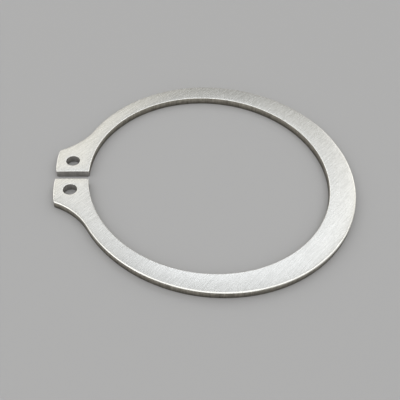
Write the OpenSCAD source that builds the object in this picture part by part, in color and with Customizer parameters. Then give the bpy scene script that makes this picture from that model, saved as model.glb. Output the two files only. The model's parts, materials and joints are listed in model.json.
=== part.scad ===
// Retaining ring for a groove on a shaft, stamped from spring steel in one piece.
// It lies on its lower face. The origin is the bore axis on that face, +Z is up,
// and the gap between the two lugs points towards -X.

/* [Band] */
// Inside diameter of the free ring
bore_d = 44.5; // [42:0.5:48]
// Thickness of the sheet
thickness = 1.5; // [1.2:0.05:2]
// Width of the band opposite the gap, where it is widest
band_back_w = 4.85; // [4:0.05:6]
// Width of the band at the gap side, where it is narrowest
band_gap_w = 2.6; // [2.2:0.05:3.2]

/* [Lugs] */
// Width of the gap between the two lugs
gap_w = 1.8; // [1:0.1:3]
// Height of a lug, from the bore to the crown of its outer face
lug_h = 6; // [5.5:0.1:7]
// Distance between the outer corners of the two lugs, before they are rounded
lug_span = 13.15; // [12:0.05:14.5]
// Radius of a lug's outer face
lug_face_r = 20; // [14:0.5:28]
// Distance from the middle of the gap to the crown of a lug's outer face
lug_crown_y = 2.95; // [2:0.05:4]
// Radius that rounds a lug's outer corner
lug_corner_r = 0.8; // [0.4:0.1:1.5]
// Radius of the hollow flank that leads from a lug into the band
flank_r = 12.25; // [10:0.25:16]

/* [Plier holes] */
// Diameter of the hole for a plier tip in each lug
hole_d = 2.5; // [2:0.1:2.8]
// Distance from the bore to the middle of a hole
hole_setback = 3.05; // [2.7:0.05:3.4]
// Distance between the middles of the two holes
hole_pitch = 7.2; // [6.4:0.1:8]

/* [Edges] */
// Rounding of the upper face's edges, which the punch drew in
upper_edge_r = 0.15; // [0.05:0.01:0.25]
// Rounding of the lower face's edges
lower_edge_r = 0.1; // [0.05:0.01:0.2]

/* [Hidden] */
$fn = 180;

// Number of chords that draw the rounding of an edge
edge_chords = 3;

// How far a cutter runs past the faces that it cuts
over = 1;

// How far an arc stands proud of the next one that it runs smoothly into,
// so that the two cross cleanly; a thousandth of a millimetre can't be seen or felt
lap = 0.001;

// The bore and the band's outer rim are two circles with their middles apart,
// which tapers the band from the back towards the gap.
bore_r = bore_d / 2;
rim_r = bore_r + (band_back_w + band_gap_w) / 2;
rim_c = [(band_back_w - band_gap_w) / 2, 0];

// Middle of the outer face's arc, on the lug at +Y like the points below
face_c = [lug_face_r - bore_r - lug_h, lug_crown_y];

// Where that arc reaches the lug's outer corner
corner_y = lug_span / 2;
corner_x = face_c.x - sqrt(pow(lug_face_r, 2) - pow(corner_y - face_c.y, 2));

// Middle of the flank's arc, which passes through the corner and touches the rim
flank_c = meet(rim_c, rim_r + flank_r, [corner_x, corner_y], flank_r);

// Middle of the corner's rounding, which touches the flank and the outer face
round_c = meet(flank_c, flank_r + lug_corner_r, face_c, lug_face_r - lug_corner_r);

// Farthest reach of the lug from the flank's middle: its corner between bore and gap
flank_reach = norm(flank_c - [-bore_r, gap_w / 2]);

// The point where circles about p and q meet, on the right of the way from p to q
function meet(p, p_r, q, q_r) =
    let (way = q - p)
    let (far = norm(way))
    let (ahead = (pow(far, 2) + pow(p_r, 2) - pow(q_r, 2)) / (2 * far))
    let (aside = sqrt(pow(p_r, 2) - pow(ahead, 2)))
    p + (ahead * way + aside * [way.y, -way.x]) / far;

// Angle at which q is seen from p
function bearing(p, q) = atan2(q.y - p.y, q.x - p.x);

// What the rounding of an edge takes away: the corner outside a quarter circle
module edge_waste(r) {
    arc = [for (i = [0:edge_chords]) r * [cos(90 * i / edge_chords), sin(90 * i / edge_chords)]];
    polygon(concat(arc, [[0, r + over], [r + over, r + over], [r + over, 0]]));
}

// The waste of both edges of a wall at radius 0 whose metal lies on its -X side
module wall_edges() {
    translate([-upper_edge_r, thickness - upper_edge_r]) edge_waste(upper_edge_r);
    translate([-lower_edge_r, lower_edge_r]) mirror([0, 1]) edge_waste(lower_edge_r);
}

// The same for a wall whose metal lies on its +X side
module hollow_wall_edges() {
    mirror([1, 0]) wall_edges();
}

// Section through a disc of radius r, from its axis to its rounded rim
module disc_section(r) {
    difference() {
        square([r, thickness]);
        translate([r, 0]) wall_edges();
    }
}

// Disc of radius r about c
module disc(c, r) {
    translate([c.x, c.y, 0])
        rotate_extrude() disc_section(r);
}

// Slice of a disc of radius r about c, from angle a to angle b
module disc_slice(c, r, a, b) {
    translate([c.x, c.y, 0])
        rotate_extrude(angle = b - a, start = a) disc_section(r);
}

// Metal outside an arc of radius r about c, out to the radius reach, from angle a to angle b
module hollow_slice(c, r, reach, a, b) {
    translate([c.x, c.y, 0])
        rotate_extrude(angle = b - a, start = a)
            translate([r, 0])
                difference() {
                    square([reach - r, thickness]);
                    hollow_wall_edges();
                }
}

// Cutter for a round hole of radius r through the sheet, flared to round its edges
module hole_cutter(r) {
    rotate_extrude() {
        translate([0, -over]) square([r, thickness + 2 * over]);
        translate([r, 0]) hollow_wall_edges();
    }
}

// Cutter for the gap, a straight slot towards -X, flared to round its edges
module gap_cutter() {
    rotate([90, 0, -90])
        linear_extrude(bore_r + lug_h + over) {
            translate([-gap_w / 2, -over]) square([gap_w, thickness + 2 * over]);
            for (side = [0, 1])
                mirror([side, 0]) translate([gap_w / 2, 0]) hollow_wall_edges();
        }
}

// The lug at +Y: its hollow flank, its rounded corner and its outer face
module lug() {
    hollow_slice(flank_c, flank_r + lap, flank_reach, bearing(flank_c, round_c), bearing(flank_c, rim_c));
    disc(round_c, lug_corner_r + lap);
    disc_slice(face_c, lug_face_r, bearing(face_c, round_c), 360 + bearing(face_c, [corner_x, 0]));
}

module retaining_ring() {
    color("lightgray")
        difference() {
            union() {
                disc(rim_c, rim_r);
                for (side = [0, 1])
                    mirror([0, side]) lug();
            }
            hole_cutter(bore_r);
            gap_cutter();
            for (side = [-1, 1])
                translate([-bore_r - hole_setback, side * hole_pitch / 2, 0]) hole_cutter(hole_d / 2);
        }
}

retaining_ring();
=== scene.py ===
import json
import math

import bpy
import numpy as np
from mathutils import Matrix, Vector
from mathutils.geometry import delaunay_2d_cdt, tessellate_polygon


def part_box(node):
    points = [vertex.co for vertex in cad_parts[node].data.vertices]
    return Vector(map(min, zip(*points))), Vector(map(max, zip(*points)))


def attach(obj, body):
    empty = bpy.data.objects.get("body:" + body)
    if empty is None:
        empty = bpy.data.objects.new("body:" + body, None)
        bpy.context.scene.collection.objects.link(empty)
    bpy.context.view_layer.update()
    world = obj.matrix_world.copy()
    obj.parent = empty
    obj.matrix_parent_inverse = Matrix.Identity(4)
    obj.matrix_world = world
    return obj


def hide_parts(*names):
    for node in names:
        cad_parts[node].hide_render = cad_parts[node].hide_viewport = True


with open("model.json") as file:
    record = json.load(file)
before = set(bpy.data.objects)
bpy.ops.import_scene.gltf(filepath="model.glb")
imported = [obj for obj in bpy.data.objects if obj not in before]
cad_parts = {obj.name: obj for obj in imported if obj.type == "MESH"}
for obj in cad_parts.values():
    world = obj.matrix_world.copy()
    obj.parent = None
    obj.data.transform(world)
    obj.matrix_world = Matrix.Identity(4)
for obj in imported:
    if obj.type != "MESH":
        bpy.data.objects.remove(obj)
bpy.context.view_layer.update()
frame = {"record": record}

# All lengths below are in millimetres and all angles in degrees, unless a comment says otherwise.
MM = 0.001

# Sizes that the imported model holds
MOUNTS = {mount["name"]: mount for mount in frame["record"]["mounts"]}
BORE_R = MOUNTS["shaft_groove_seat"]["dims"]["r_mm"]
HOLE_R = MOUNTS["plier_hole_left"]["dims"]["r_mm"]
HOLE_CENTRES = [np.array(MOUNTS[name]["pos_m"][:2]) / MM for name in ("plier_hole_left", "plier_hole_right")]
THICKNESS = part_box("retaining_ring")[1].z / MM

# Sizes of the outline, as in the part's own frame
BAND_BACK_W = 4.85
BAND_GAP_W = 2.6
GAP_W = 1.8
LUG_H = 6
LUG_SPAN = 13.15
LUG_FACE_R = 20
LUG_CROWN_Y = 2.95
FLANK_R = 12.25

# Radii of the outline's corners: the outer ones of the lugs at +Y and at -Y, and those beside the gap
LUG_CORNER_R = 0.9
OTHER_CORNER_R = 0.5
GAP_CORNER_R = 0.22

# Parts of the outline. The flanks and the lugs' outer corners belong to the rim
RIM, LUG_FACE, GAP, BORE, HOLE = range(5)

# Width of the worn edges: of the upper face, at the rim, and of the lower face
UPPER_EDGE_W = 0.24
LOWER_EDGE_W = 0.1

# Share of the upper width that each part of the outline has, in their order, and the points that blend it
WEAR = np.array([1, 0.5, 0.5, 0.45, 0.3])
WEAR_BLEND_STEPS = 9

# Slope of most of a worn edge, how far that slope spreads, and how much longer such a stretch is than one of
# another slope, which runs smoothly into the face or the wall
UPPER_EDGE_SLOPE = 22
LOWER_EDGE_SLOPE = 45
EDGE_SLOPE_SPREAD = 12
EDGE_SLOPE_WEIGHT = 8

# The upper face is a little crowned: it drops this far towards each edge, from this far in
CROWN_DROP = 0.029
CROWN_W = 1.85

# Relief of the punched walls: how deep the punch's upright lines, the torn part and its crumbs lie, how
# often the lines and the crumbs come, and in how many layers the crumbs lie
LINE_DEPTH = 0.004
LINE_PERIOD = 0.3
TORN_DEPTH = 0.018
CRUMB_DEPTH = 0.012
CRUMB_PERIOD = 0.35
CRUMB_LAYERS = 10

# Where a wall turns from smooth to torn, and over what stretch, as shares of its height from above
TEAR_START = 0.6
TEAR_STRETCH = 0.12

# Waves along an outline, each as its swing and its period: of the edges' widths and of the place of the tear
UPPER_EDGE_WAVES = ((0.1, 2.5), (0.05, 0.8))
LOWER_EDGE_WAVES = ((0.2, 1.5),)
TEAR_WAVES = ((0.08, 3), (0.05, 0.8))

# The fewest random heights that a wave has round an outline
LEAST_KNOTS = 4

# Seeds of the random waves, counted from an outline's own seed, and the step from one outline's to the next
LINE_SEED = 0
TEAR_SEED = 1
CRUMB_SEED = 3
UPPER_EDGE_SEED = 20
LOWER_EDGE_SEED = 22
OUTLINE_SEED_STEP = 100

# Fineness of the mesh: longest step and largest turn along an outline, spacing inside the upper face, and
# rows across each edge and the wall
OUTLINE_SPACING = 0.1
MOST_TURN = 12
FACE_SPACING = 0.45
UPPER_EDGE_STEPS = 8
LOWER_EDGE_STEPS = 4
WALL_STEPS = 6

# A triangle with less area than this, in square millimetres, is left out
LEAST_AREA = 5e-10

# The kind of triangulation that keeps only what lies inside the loops, and how close points are merged
CDT_INSIDE = 1
CDT_MERGE_DISTANCE = 1e-6

# The ring's materials, in the order of its slots
GROUND_FACE, WORN_EDGE, SHEARED_WALL, PIERCED_LIT_WALL = range(4)

# Direction of the ground lines on the flat faces, from +X towards +Y
GRAIN_ANGLE = 46

# Tones of the steel, darkest and palest, as linear colours
GROUND_TONES = ((0.57, 0.57, 0.56), (0.82, 0.82, 0.81))
WORN_TONES = ((0.82, 0.815, 0.79), (0.95, 0.945, 0.92))
SHEARED_TONES = ((0.31, 0.288, 0.243), (0.64, 0.6, 0.515))
# The pierced walls' paler tones are painted light, brighter than the sheared walls' own tone
PIERCED_LIT_TONES = ((0.44, 0.425, 0.4), (0.66, 0.64, 0.605))
BRIGHT_SCRATCH = (0.86, 0.86, 0.85)
DARK_SCRATCH = (0.5, 0.5, 0.49)

# How bright a wall's torn part is, as a share of its smooth part, where it was sheared and where pierced; the
# torn part is real, but this darkening low on the wall is painted shade, as of the floor's contact shadow
SHEARED_TORN_SHADE = 0.38
PIERCED_TORN_SHADE = 0.65

# Roughness of the ground faces and the worn edges, where their noise is lowest and where it is highest, and of
# the walls, where they are torn and where they are smooth
GROUND_ROUGHNESS = (0.24, 0.29)
WORN_ROUGHNESS = (0.3, 0.2)
WALL_ROUGHNESS = (0.5, 0.36)

# Depth of the finest relief: of the ground lines and of the punch's lines
GROUND_LINE_DEPTH = 0.001
PUNCH_LINE_DEPTH = 0.006

# Heights between which a wall's tone turns from torn, and darkened there by painted shade, to smooth, less a
# wandering of up to so much
TEAR_AND_SHADE_HEIGHTS = (0.45, 1.35)
TEAR_AND_SHADE_WANDER = 0.5

# Places of a Mix node's share and its two colours among its inputs, and of its colour among its outputs
MIX_INPUTS = (0, 6, 7)
MIX_RESULT = 2

# Tones of the floor and of the air around it, as linear colours
FLOOR_COLOUR = (0.43, 0.43, 0.44)
SURROUND_COLOUR = (0.445, 0.44, 0.415)

# The floor is paler far off, where the lamps don't reach it, so that it runs into the air's tone
FAR_FLOOR_COLOUR = (0.96, 0.955, 0.94)
FLOOR_FADE = (250, 1100)
FLOOR_HALF_W = 3000
FLOOR_DROP = 0.01

# How far off the lamps stand, those that the steel mirrors and the large fills, and their usual tint
LAMP_DISTANCE = 700
FILL_DISTANCE = 900
WHITE = (1, 1, 1)

# The camera: where it looks, from which side and how far off; its azimuth runs from +Y towards +X
VIEW_TARGET = Vector((-2.27, -6.374, 1.5))
VIEW_AZIMUTH = 187.385
VIEW_ELEVATION = 48.11
VIEW_ROLL = 5.16
VIEW_DISTANCE = 107.22
LENS = 54.22
CLIP_START = 5


def bearing(p, q):
    """Angle in radians at which q is seen from p"""
    return math.atan2(q[1] - p[1], q[0] - p[0])


def meet(p, p_r, q, q_r):
    """The point where circles about p and q meet, on the right of the way from p to q"""
    way = q - p
    far = np.linalg.norm(way)
    ahead = (far**2 + p_r**2 - q_r**2) / (2 * far)
    aside = math.sqrt(p_r**2 - ahead**2)
    return p + (ahead * way + aside * np.array([way[1], -way[0]])) / far


def arc(part, centre, radius, start, end, outward=1):
    """Points of an arc, less its last one, with the way out of the metal and the outline's part at each"""
    turn = abs(end - start)
    steps = math.ceil(max(turn * radius / OUTLINE_SPACING, turn / math.radians(MOST_TURN)))
    angles = start + (end - start) * np.arange(steps) / steps
    rays = np.stack([np.cos(angles), np.sin(angles)], 1)
    return centre + radius * rays, outward * rays, np.full(steps, part)


def straight(part, start, end, normal):
    """The same for a straight line"""
    steps = math.ceil(np.linalg.norm(end - start) / OUTLINE_SPACING)
    shares = np.arange(steps)[:, None] / steps
    return start + shares * (end - start), np.tile(normal, (steps, 1)), np.full(steps, part)


def half_outline(corner_r):
    """Outline of the +Y half, from the rim at the back, round the lug and the gap, to the bore's back"""
    rim_r = BORE_R + (BAND_BACK_W + BAND_GAP_W) / 2
    rim_c = np.array([(BAND_BACK_W - BAND_GAP_W) / 2, 0])
    face_c = np.array([LUG_FACE_R - BORE_R - LUG_H, LUG_CROWN_Y])
    corner_y = LUG_SPAN / 2
    corner = np.array([face_c[0] - math.sqrt(LUG_FACE_R**2 - (corner_y - LUG_CROWN_Y) ** 2), corner_y])
    flank_c = meet(rim_c, rim_r + FLANK_R, corner, FLANK_R)
    round_c = meet(flank_c, FLANK_R + corner_r, face_c, LUG_FACE_R - corner_r)

    # Middles of the two small arcs that round the gap's ends
    gap_y = GAP_W / 2 + GAP_CORNER_R
    face_reach = math.sqrt((LUG_FACE_R - GAP_CORNER_R) ** 2 - (gap_y - LUG_CROWN_Y) ** 2)
    outer_c = np.array([face_c[0] - face_reach, gap_y])
    inner_c = np.array([-math.sqrt((BORE_R + GAP_CORNER_R) ** 2 - gap_y**2), gap_y])
    below = np.array([0, -GAP_CORNER_R])
    full_turn = 2 * math.pi
    down = 0.75 * full_turn
    stretches = [
        arc(RIM, rim_c, rim_r, 0, bearing(rim_c, flank_c)),
        arc(RIM, flank_c, FLANK_R, bearing(flank_c, rim_c), bearing(flank_c, round_c), outward=-1),
        arc(RIM, round_c, corner_r, bearing(flank_c, round_c) + math.pi, bearing(face_c, round_c)),
        arc(LUG_FACE, face_c, LUG_FACE_R, bearing(face_c, round_c), full_turn + bearing(face_c, outer_c)),
        arc(GAP, outer_c, GAP_CORNER_R, full_turn + bearing(face_c, outer_c), down),
        straight(GAP, outer_c + below, inner_c + below, np.array([0, -1])),
        arc(GAP, inner_c, GAP_CORNER_R, down, full_turn + bearing(inner_c, (0, 0))),
        arc(BORE, np.zeros(2), BORE_R, bearing((0, 0), inner_c), 0, outward=-1),
        (np.array([[BORE_R, 0]]), np.array([[-1, 0]]), np.array([BORE])),
    ]
    return [np.concatenate(values) for values in zip(*stretches)]


def ring_outline():
    """The whole outline of the sheet as one closed loop, counter-clockwise"""
    flip = np.array([1, -1])
    points, normals, parts = half_outline(LUG_CORNER_R)
    other_points, other_normals, other_parts = (values[-2:0:-1] for values in half_outline(OTHER_CORNER_R))
    points = np.concatenate([points, flip * other_points])
    normals = np.concatenate([normals, flip * other_normals])
    return points, normals, np.concatenate([parts, other_parts])


def hole_outline(centre):
    """A plier hole's outline, clockwise"""
    return arc(HOLE, centre, HOLE_R, 2 * math.pi, 0, outward=-1)


def run_round(points):
    """How far round a closed outline each point lies, and the point after it"""
    steps = np.linalg.norm(np.roll(points, -1, 0) - points, axis=1)
    run_after = np.cumsum(steps)
    return run_after - steps, run_after


def crown(places, line, parts):
    """How far the upper face drops at these places, from the ring's upper line and the parts along it"""
    drop = np.zeros(len(places))
    for part in (RIM, LUG_FACE, GAP, BORE):
        edge = line[parts == part]
        distance = np.array([np.hypot(*(edge - place).T).min() for place in places])
        drop += np.clip(1 - distance / CROWN_W, 0, 1) ** 2
    return CROWN_DROP * drop


def wobble(run, length, period, seed):
    """Smooth random wave from -1 to 1 along a closed outline, with a swing about every period"""
    knots = max(LEAST_KNOTS, round(length / period))
    heights = np.random.default_rng(seed).uniform(-1, 1, knots)
    place = run / length * knots
    before = np.floor(place).astype(int)
    share = place - before
    share = share * share * (3 - 2 * share)
    return heights[before % knots] * (1 - share) + heights[(before + 1) % knots] * share


def waves(run, length, swings_and_periods, seed):
    """Sum of such waves, each with its own swing, period and seed"""
    numbered = enumerate(swings_and_periods)
    return sum(swing * wobble(run, length, period, seed + number) for number, (swing, period) in numbered)


def wall_relief(run, length, depth, seed):
    """How far the wall lies inside the outline, at a depth from 0 at the upper rounding to 1 at the lower"""
    lines = LINE_DEPTH * (1 + wobble(run, length, LINE_PERIOD, seed + LINE_SEED))
    tear_start = TEAR_START + waves(run, length, TEAR_WAVES, seed + TEAR_SEED)
    torn = np.clip((depth - tear_start) / TEAR_STRETCH, 0, 1)
    crumb_seed = seed + CRUMB_SEED + round(CRUMB_LAYERS * depth)
    crumbs = CRUMB_DEPTH * (1 + wobble(run, length, CRUMB_PERIOD, crumb_seed))
    return (1 - torn) * lines + torn * (TORN_DEPTH + crumbs)


def worn_edge(steps, main_slope):
    """Section of a worn edge of width 1, as (inset, drop) from the flat face to the wall"""
    slopes = 90 * (np.arange(steps) + 0.5) / steps
    lengths = 1 + EDGE_SLOPE_WEIGHT * np.exp(-(((slopes - main_slope) / EDGE_SLOPE_SPREAD) ** 2))
    across = np.append(0, np.cumsum(lengths * np.cos(np.radians(slopes))))
    down = np.append(0, np.cumsum(lengths * np.sin(np.radians(slopes))))
    return list(zip(1 - across / across[-1], down / across[-1]))


def sheet_edge(outline, seed):
    """Rows of (line, height, on the wall) round one outline, from the upper face down to the lower face"""
    points, normals, parts = outline
    run, run_after = run_round(points)
    length = run_after[-1]
    around = np.arange(len(parts))[:, None] + np.arange(WEAR_BLEND_STEPS) - WEAR_BLEND_STEPS // 2
    wear = WEAR[parts[around % len(parts)]].mean(1)
    upper_w = UPPER_EDGE_W * wear * (1 + waves(run, length, UPPER_EDGE_WAVES, seed + UPPER_EDGE_SEED))
    lower_w = LOWER_EDGE_W * (1 + waves(run, length, LOWER_EDGE_WAVES, seed + LOWER_EDGE_SEED))
    upper_edge = worn_edge(UPPER_EDGE_STEPS, UPPER_EDGE_SLOPE)
    lower_edge = worn_edge(LOWER_EDGE_STEPS, LOWER_EDGE_SLOPE)
    wall_top = THICKNESS - upper_w * upper_edge[-1][1]
    wall_foot = lower_w * lower_edge[-1][1]
    rows = [(upper_w * inset, THICKNESS - upper_w * drop, False) for inset, drop in upper_edge[:-1]]
    for step in range(WALL_STEPS):
        depth = step / WALL_STEPS
        relief = wall_relief(run, length, depth, seed) if step else np.zeros(len(parts))
        rows.append((relief, (1 - depth) * wall_top + depth * wall_foot, True))

    # The lower edge is worn so little that it looks as the wall does
    rows += [(lower_w * inset, lower_w * drop, True) for inset, drop in reversed(lower_edge)]
    return [(points - inset[:, None] * normals, height, on_wall) for inset, height, on_wall in rows]


def facing(triangles, flat, upward):
    """The triangles that have some area, turned to face up or down"""
    a, b, c = (flat[triangles[:, k]] for k in range(3))
    area = np.cross(b - a, c - a) / 2
    kept = np.abs(area) > LEAST_AREA
    turned = (area > 0) != upward
    triangles[turned] = triangles[turned][:, ::-1]
    return triangles[kept]


def filled(loops):
    """Triangles between the outer loop and the holes, with no vertices but theirs"""
    return np.array(tessellate_polygon([[Vector((x, y, 0)) for x, y in loop] for loop in loops]))


def filled_finely(loops):
    """The same with vertices inside too, on a triangular grid; returns the triangles and those vertices"""
    border = np.concatenate(loops)
    low, high = border.min(0), border.max(0)
    row_spacing = FACE_SPACING * math.sqrt(0.75)
    x, y = np.meshgrid(np.arange(low[0], high[0], FACE_SPACING), np.arange(low[1], high[1], row_spacing))
    x[1::2] += FACE_SPACING / 2
    grid = np.column_stack([x.ravel(), y.ravel()])
    for centre in HOLE_CENTRES:
        grid = grid[np.hypot(*(grid - centre).T) > HOLE_R]
    distance = np.array([np.hypot(*(border - place).T).min() for place in grid])
    grid = grid[distance > FACE_SPACING / 2]
    edges = []
    for loop in loops:
        numbers = len(edges) + np.arange(len(loop))
        edges += np.column_stack([numbers, np.roll(numbers, -1)]).tolist()
    corners = [Vector(place) for place in np.concatenate([border, grid])]
    triangles = np.array(delaunay_2d_cdt(corners, edges, [], CDT_INSIDE, CDT_MERGE_DISTANCE)[2])

    # A triangle with all its corners on one hole's loop spans that hole
    loop_of = np.repeat(np.arange(len(loops) + 1), [len(loop) for loop in loops] + [len(grid)])
    first, second, third = loop_of[triangles].T
    spans_hole = (first == second) & (second == third) & (first > 0) & (first < len(loops))
    triangles = triangles[~spans_hole]

    # Grid points that no triangle took up are left out
    used, numbers = np.unique(np.append(np.arange(len(border)), triangles), return_inverse=True)
    return numbers[len(border):].reshape(-1, 3), grid[used[len(border):] - len(border)]


class Shell:
    """A mesh as it is laid, row by row and face by face"""

    def __init__(self):
        self.places = np.empty((0, 3))
        self.polygons = []
        self.materials = []
        self.smooth = []
        self.wall_places = []

    def add_vertices(self, flat, heights):
        """Adds vertices and returns their numbers"""
        numbers = len(self.places) + np.arange(len(flat))
        self.places = np.concatenate([self.places, np.column_stack([flat, heights])])
        return numbers

    def add_polygons(self, corners, materials, smooth, wall_places):
        """Adds polygons from their corners' numbers, with their materials and their corners' wall places"""
        self.polygons += corners.tolist()
        self.materials += materials
        self.smooth += [smooth] * len(corners)
        self.wall_places.append(wall_places.reshape(-1, 2))

    def add_edge(self, outline, rows, drop):
        """Adds the worn edges and the wall of one outline; returns its upper and its lower line's numbers"""
        points, _, parts = outline
        run, run_after = run_round(points)
        # The gap's and the holes' walls take the pierced material, whose paler tone is painted light
        walls = np.where(np.isin(parts, (GAP, HOLE)), PIERCED_LIT_WALL, SHEARED_WALL).tolist()
        heights = [height * (1 - drop / THICKNESS) for line, height, on_wall in rows]
        lines = [self.add_vertices(row[0], height) for row, height in zip(rows, heights)]
        for level in range(len(rows) - 1):
            upper, lower = lines[level : level + 2]
            height, below = heights[level : level + 2]
            corners = np.column_stack([upper, lower, np.roll(lower, -1), np.roll(upper, -1)])
            corner_runs = np.column_stack([run, run, run_after, run_after])
            corner_heights = np.column_stack([height, below, np.roll(below, -1), np.roll(height, -1)])
            materials = walls if rows[level][2] else [WORN_EDGE] * len(points)
            self.add_polygons(corners, materials, True, np.dstack([corner_runs, corner_heights]))
        return lines[0], lines[-1]

    def add_face(self, triangles, numbers, upward):
        """Adds the upper or the lower face, from triangles between these vertices"""
        flat = self.places[:, :2]
        triangles = facing(numbers[triangles], flat, upward)
        self.add_polygons(triangles, [GROUND_FACE] * len(triangles), upward, flat[triangles])

    def mesh(self, name):
        """The finished mesh, with one map laid along the ground lines and one along the walls"""
        mesh = bpy.data.meshes.new(name)
        mesh.from_pydata((self.places * MM).tolist(), [], self.polygons)
        mesh.polygons.foreach_set("material_index", self.materials)
        mesh.polygons.foreach_set("use_smooth", self.smooth)
        flat = self.places[np.concatenate(self.polygons)][:, :2]
        turn = math.radians(GRAIN_ANGLE)
        along = flat @ [math.cos(turn), math.sin(turn)]
        across = flat @ [-math.sin(turn), math.cos(turn)]
        write_map(mesh, "grain", np.column_stack([along, across]))
        write_map(mesh, "wall", np.concatenate(self.wall_places))
        mesh.validate()
        mesh.update()
        return mesh


def write_map(mesh, name, places):
    """Adds a UV map that holds places in millimetres"""
    layer = mesh.uv_layers.new(name=name)
    layer.uv.foreach_set("vector", places.astype(np.float32).ravel())


def ring_mesh():
    """The whole ring: its two faces, and the worn edges and punched walls round its outline and its holes"""
    outlines = [ring_outline()] + [hole_outline(centre) for centre in HOLE_CENTRES]
    edges = [sheet_edge(outline, OUTLINE_SEED_STEP * number) for number, outline in enumerate(outlines)]
    upper_lines = [rows[0][0] for rows in edges]
    lower_lines = [rows[-1][0] for rows in edges]
    crown_from = (upper_lines[0], outlines[0][2])
    shell = Shell()
    upper_numbers, lower_numbers = [], []
    for outline, rows, line in zip(outlines, edges, upper_lines):
        upper, lower = shell.add_edge(outline, rows, crown(line, *crown_from))
        upper_numbers.append(upper)
        lower_numbers.append(lower)
    triangles, inner = filled_finely(upper_lines)
    upper_numbers.append(shell.add_vertices(inner, THICKNESS - crown(inner, *crown_from)))
    shell.add_face(triangles, np.concatenate(upper_numbers), True)
    shell.add_face(filled(lower_lines), np.concatenate(lower_numbers), False)
    return shell.mesh("retaining_ring_steel")


def set_socket(tree, socket, value):
    """Sets a node's input: to another node's output, a number, a vector or a colour without its alpha"""
    if isinstance(value, bpy.types.NodeSocket):
        tree.links.new(value, socket)
    elif socket.type == "RGBA":
        socket.default_value = (*value, 1)
    else:
        socket.default_value = value


def feed(tree, node, inputs):
    """Sets a node's inputs by name"""
    for name, value in inputs.items():
        set_socket(tree, node.inputs[name], value)


def add_node(tree, kind, settings, inputs):
    """A shader node with its settings and its inputs"""
    node = tree.nodes.new(kind)
    for name, value in settings.items():
        setattr(node, name, value)
    feed(tree, node, inputs)
    return node


def new_material(name):
    """A new material; returns it with its node tree and its shader"""
    material = bpy.data.materials.new(name)
    material.use_nodes = True
    return material, material.node_tree, material.node_tree.nodes["Principled BSDF"]


def object_place(tree):
    """Place in the object's own frame, in metres"""
    return add_node(tree, "ShaderNodeTexCoord", {}, {}).outputs["Object"]


def wall_place(tree):
    """Place on the wall: the run round the outline and the height, in millimetres"""
    return add_node(tree, "ShaderNodeUVMap", {"uv_map": "wall"}, {}).outputs[0]


def noise(tree, source, sizes, turn=0, detail=2):
    """Noise from 0 to 1 whose spots have these sizes in the source's units, turned about Z"""
    stretch = {"Vector": source, "Rotation": (0, 0, math.radians(turn)), "Scale": sizes}
    mapping = add_node(tree, "ShaderNodeMapping", {"vector_type": "TEXTURE"}, stretch)
    inputs = {"Vector": mapping.outputs[0], "Scale": 1, "Detail": detail}
    return add_node(tree, "ShaderNodeTexNoise", {}, inputs).outputs["Fac"]


def grain(tree, length, width, detail=2):
    """Noise stretched along the ground lines, of this length and width"""
    return noise(tree, object_place(tree), (length * MM, width * MM, width * MM), GRAIN_ANGLE, detail)


def spots(tree, size):
    """Noise of round spots of this size"""
    return noise(tree, object_place(tree), (size * MM,) * 3, detail=1)


def along_wall(tree, length, height):
    """Noise on the wall, with spots of this length round the outline and this height"""
    return noise(tree, wall_place(tree), (length, height, 1))


def maths(tree, operation, first, second):
    """One step of arithmetic on two values"""
    node = add_node(tree, "ShaderNodeMath", {"operation": operation}, {})
    for socket, value in zip(node.inputs, (first, second)):
        set_socket(tree, socket, value)
    return node.outputs[0]


def blended(tree, layers):
    """Sum of noises about their middle, each with its weight"""
    middle = 0.5
    total = middle
    for layer, weight in layers:
        swing = maths(tree, "MULTIPLY", maths(tree, "SUBTRACT", layer, middle), weight)
        total = maths(tree, "ADD", swing, total)
    return total


def ranged(tree, value, source, target=(0, 1)):
    """The value carried from one range to another, and held inside it"""
    node = add_node(tree, "ShaderNodeMapRange", {"clamp": True}, {"Value": value})
    feed(tree, node, {"From Min": source[0], "From Max": source[1]})
    feed(tree, node, {"To Min": target[0], "To Max": target[1]})
    return node.outputs[0]


def tinted(tree, share, low, high):
    """Colour between two tones, or between a node's colour and a tone"""
    node = add_node(tree, "ShaderNodeMix", {"data_type": "RGBA"}, {})
    for place, value in zip(MIX_INPUTS, (share, low, high)):
        set_socket(tree, node.inputs[place], value)
    return node.outputs[MIX_RESULT]


def bumped(tree, relief, strength, depth):
    """Normal of a surface with this fine relief"""
    inputs = {"Strength": strength, "Distance": depth * MM, "Height": relief}
    return add_node(tree, "ShaderNodeBump", {}, inputs).outputs[0]


def ground_steel():
    """Flat faces: satin steel, finely ground in one direction"""
    material, tree, shader = new_material("ground_steel")
    fine = grain(tree, length=3.4, width=0.15)
    bundles = grain(tree, length=8, width=0.4)
    specks = spots(tree, size=0.26)
    blots = spots(tree, size=0.9)
    tone = blended(tree, [(fine, 1), (bundles, 0.25), (specks, 0.35), (blots, 0.3)])
    colour = tinted(tree, ranged(tree, tone, (0.1, 0.9)), *GROUND_TONES)
    bright_scratches = ranged(tree, grain(tree, length=14, width=0.18, detail=1), (0.66, 0.74), (0, 0.3))
    colour = tinted(tree, bright_scratches, colour, BRIGHT_SCRATCH)
    dark_scratches = ranged(tree, grain(tree, length=12, width=0.15, detail=1), (0.36, 0.28), (0, 0.15))
    colour = tinted(tree, dark_scratches, colour, DARK_SCRATCH)
    roughness = ranged(tree, blended(tree, [(fine, 0.6), (specks, 0.4)]), (0.25, 0.75), GROUND_ROUGHNESS)
    tangent = add_node(tree, "ShaderNodeTangent", {"direction_type": "UV_MAP", "uv_map": "grain"}, {})
    normal = bumped(tree, blended(tree, [(fine, 0.7), (bundles, 0.25)]), 0.6, GROUND_LINE_DEPTH)
    feed(tree, shader, {"Metallic": 1, "Base Color": colour, "Roughness": roughness, "Normal": normal})
    feed(tree, shader, {"Anisotropic": 0.5, "Tangent": tangent.outputs[0]})
    return material


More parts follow.
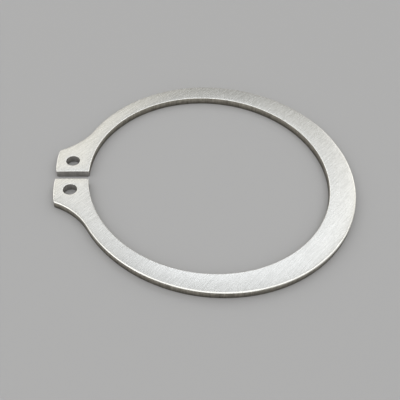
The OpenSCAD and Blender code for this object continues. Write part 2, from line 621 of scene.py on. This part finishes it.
def worn_steel():
    """Upper edges: the same steel, tumbled until it is smooth and bright"""
    material, tree, shader = new_material("worn_steel")
    worn = along_wall(tree, length=0.5, height=0.3)
    colour = tinted(tree, worn, *WORN_TONES)
    roughness = ranged(tree, worn, (0.3, 0.7), WORN_ROUGHNESS)
    feed(tree, shader, {"Metallic": 1, "Base Color": colour, "Roughness": roughness})
    return material


def punched_steel(name, tones, torn_shade_share):
    """Steel cut by a punch, from the two tones of its smooth part and the share of them in the torn part; that
    darker torn part is partly painted shade near the floor
    """
    material, tree, shader = new_material(name)
    lines = along_wall(tree, length=0.27, height=2.4)
    blotches = along_wall(tree, length=1.2, height=0.5)
    tone = ranged(tree, blended(tree, [(lines, 1.1), (blotches, 0.5)]), (0.2, 0.8))
    smooth = tinted(tree, tone, *tones)
    # The torn part's darker copy of the tones is painted shade low on the wall
    torn = tinted(tree, tone, *[[torn_shade_share * part for part in tint] for tint in tones])
    height = add_node(tree, "ShaderNodeSeparateXYZ", {}, {"Vector": wall_place(tree)}).outputs["Y"]
    # Below these heights the wall takes the torn tone, darkened by painted shade, and is rougher
    wandering = maths(tree, "ADD", height, maths(tree, "MULTIPLY", blotches, TEAR_AND_SHADE_WANDER))
    smooth_unshaded = ranged(tree, wandering, TEAR_AND_SHADE_HEIGHTS)
    colour = tinted(tree, smooth_unshaded, torn, smooth)
    roughness = ranged(tree, smooth_unshaded, (0, 1), WALL_ROUGHNESS)
    normal = bumped(tree, lines, 0.5, PUNCH_LINE_DEPTH)
    feed(tree, shader, {"Metallic": 1, "Base Color": colour, "Roughness": roughness, "Normal": normal})
    return material


def sheared_steel():
    """Outer walls and the bore's: the punch's upright lines, smooth above and torn below, where painted shade
    darkens them
    """
    return punched_steel("sheared_steel", SHEARED_TONES, SHEARED_TORN_SHADE)


def pierced_lit_steel():
    """Walls of the gap and the plier holes: the same, but brighter, which is painted light on these walls"""
    return punched_steel("pierced_lit_steel", PIERCED_LIT_TONES, PIERCED_TORN_SHADE)


def make_ring():
    """The retaining ring, in place of its CAD solid"""
    ring = bpy.data.objects.new("ground_ring", ring_mesh())
    bpy.context.scene.collection.objects.link(ring)
    for material in (ground_steel(), worn_steel(), sheared_steel(), pierced_lit_steel()):
        ring.data.materials.append(material)
    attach(ring, "root")
    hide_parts("retaining_ring")


def floor_material():
    """Plain matt floor, paler far off"""
    material, tree, shader = new_material("pale_floor")
    length = add_node(tree, "ShaderNodeVectorMath", {"operation": "LENGTH"}, {"Vector": object_place(tree)})
    near, far = FLOOR_FADE
    fade = ranged(tree, length.outputs["Value"], (near * MM, far * MM))
    colour = tinted(tree, fade, FLOOR_COLOUR, FAR_FLOOR_COLOUR)
    feed(tree, shader, {"Base Color": colour, "Roughness": 0.9, "Specular IOR Level": 0.2})
    return material


def make_floor():
    """A plain pale floor, a hair below the face that the ring lies on so that the two don't coincide"""
    half = FLOOR_HALF_W * MM
    corners = [(-half, -half, 0), (half, -half, 0), (half, half, 0), (-half, half, 0)]
    mesh = bpy.data.meshes.new("floor")
    mesh.from_pydata(corners, [], [(0, 1, 2, 3)])
    mesh.materials.append(floor_material())
    floor = bpy.data.objects.new("floor", mesh)
    floor.location.z = -FLOOR_DROP * MM
    bpy.context.scene.collection.objects.link(floor)


def direction(azimuth, elevation):
    """Unit vector at an azimuth from +Y towards +X and an elevation above the floor"""
    a, e = math.radians(azimuth), math.radians(elevation)
    return Vector((math.sin(a) * math.cos(e), math.cos(a) * math.cos(e), math.sin(e)))


def add_softboxes(name, row, elevation, size, tint=WHITE, distance=LAMP_DISTANCE):
    """Rectangular lamps that face the ring, from the azimuth and the brightness of each in a row

    The brightness is what a mirror would show of the lamp, 1 being white; the size is its width and height.
    """
    for azimuth, brightness in row:
        lamp = bpy.data.lights.new(name, "AREA")
        lamp.shape = "RECTANGLE"
        lamp.size, lamp.size_y = (side * MM for side in size)
        lamp.color = tint
        lamp.energy = brightness * math.pi * lamp.size * lamp.size_y
        towards = direction(azimuth, elevation)
        box = bpy.data.objects.new(name, lamp)
        box.location = towards * distance * MM
        box.rotation_euler = towards.to_track_quat("Z", "Y").to_euler()
        bpy.context.scene.collection.objects.link(box)


def light_scene():
    """Soft studio light: panes that the face mirrors, others beside and above for the edges, and fills"""
    pane_row = ((-28, 0.25), (-4, 0.7), (20, 1.4))
    low_row = ((-48, 0.7), (-30, 0.55), (-12, 0.8), (24, 0.25), (42, 0.75))
    foot_row = ((-36, 1.5), (40, 1.4))
    fill_row = ((-100, 0.8), (110, 0.25), (180, 0.45))
    add_softboxes("pane", pane_row, elevation=51, size=(250, 110), tint=(0.96, 1, 1.06))
    add_softboxes("low_pane", low_row, elevation=41, size=(190, 140), tint=(1.04, 1, 0.89))
    add_softboxes("foot", foot_row, elevation=28, size=(300, 160), tint=(1.01, 1, 0.97))
    add_softboxes("upper_pane", ((10, 0.4),), elevation=65, size=(380, 180), tint=(0.95, 1, 1.08))
    add_softboxes("edge_right", ((62, 1.6),), elevation=49, size=(180, 240))
    add_softboxes("top", ((180, 0.92),), elevation=88, size=(1080, 380), tint=(0.99, 1, 1))
    add_softboxes("top_front", ((180, 0.85),), elevation=58, size=(560, 240))
    add_softboxes("fill", fill_row, elevation=38, size=(900, 600), distance=FILL_DISTANCE)


def make_surround():
    """The air around the scene, in one plain tone, and colours shown as they are"""
    world = bpy.data.worlds.new("surround")
    world.use_nodes = True
    feed(world.node_tree, world.node_tree.nodes["Background"], {"Color": SURROUND_COLOUR})
    bpy.context.scene.world = world
    bpy.context.scene.view_settings.view_transform = "Standard"


def make_camera():
    """The camera at the photograph's viewing angle"""
    back = direction(VIEW_AZIMUTH, VIEW_ELEVATION)
    level = (-back).cross(Vector((0, 0, 1))).normalized()
    upward = level.cross(-back)
    roll = math.radians(VIEW_ROLL)
    right = math.cos(roll) * level + math.sin(roll) * upward
    up = math.cos(roll) * upward - math.sin(roll) * level
    place = (VIEW_TARGET + VIEW_DISTANCE * back) * MM
    camera = bpy.data.objects.new("camera", bpy.data.cameras.new("camera"))
    camera.data.lens = LENS
    camera.data.clip_start = CLIP_START * MM
    camera.matrix_world = Matrix.Translation(place) @ Matrix((right, up, back)).transposed().to_4x4()
    bpy.context.scene.collection.objects.link(camera)
    bpy.context.scene.camera = camera


make_ring()
make_floor()
light_scene()
make_surround()
make_camera()
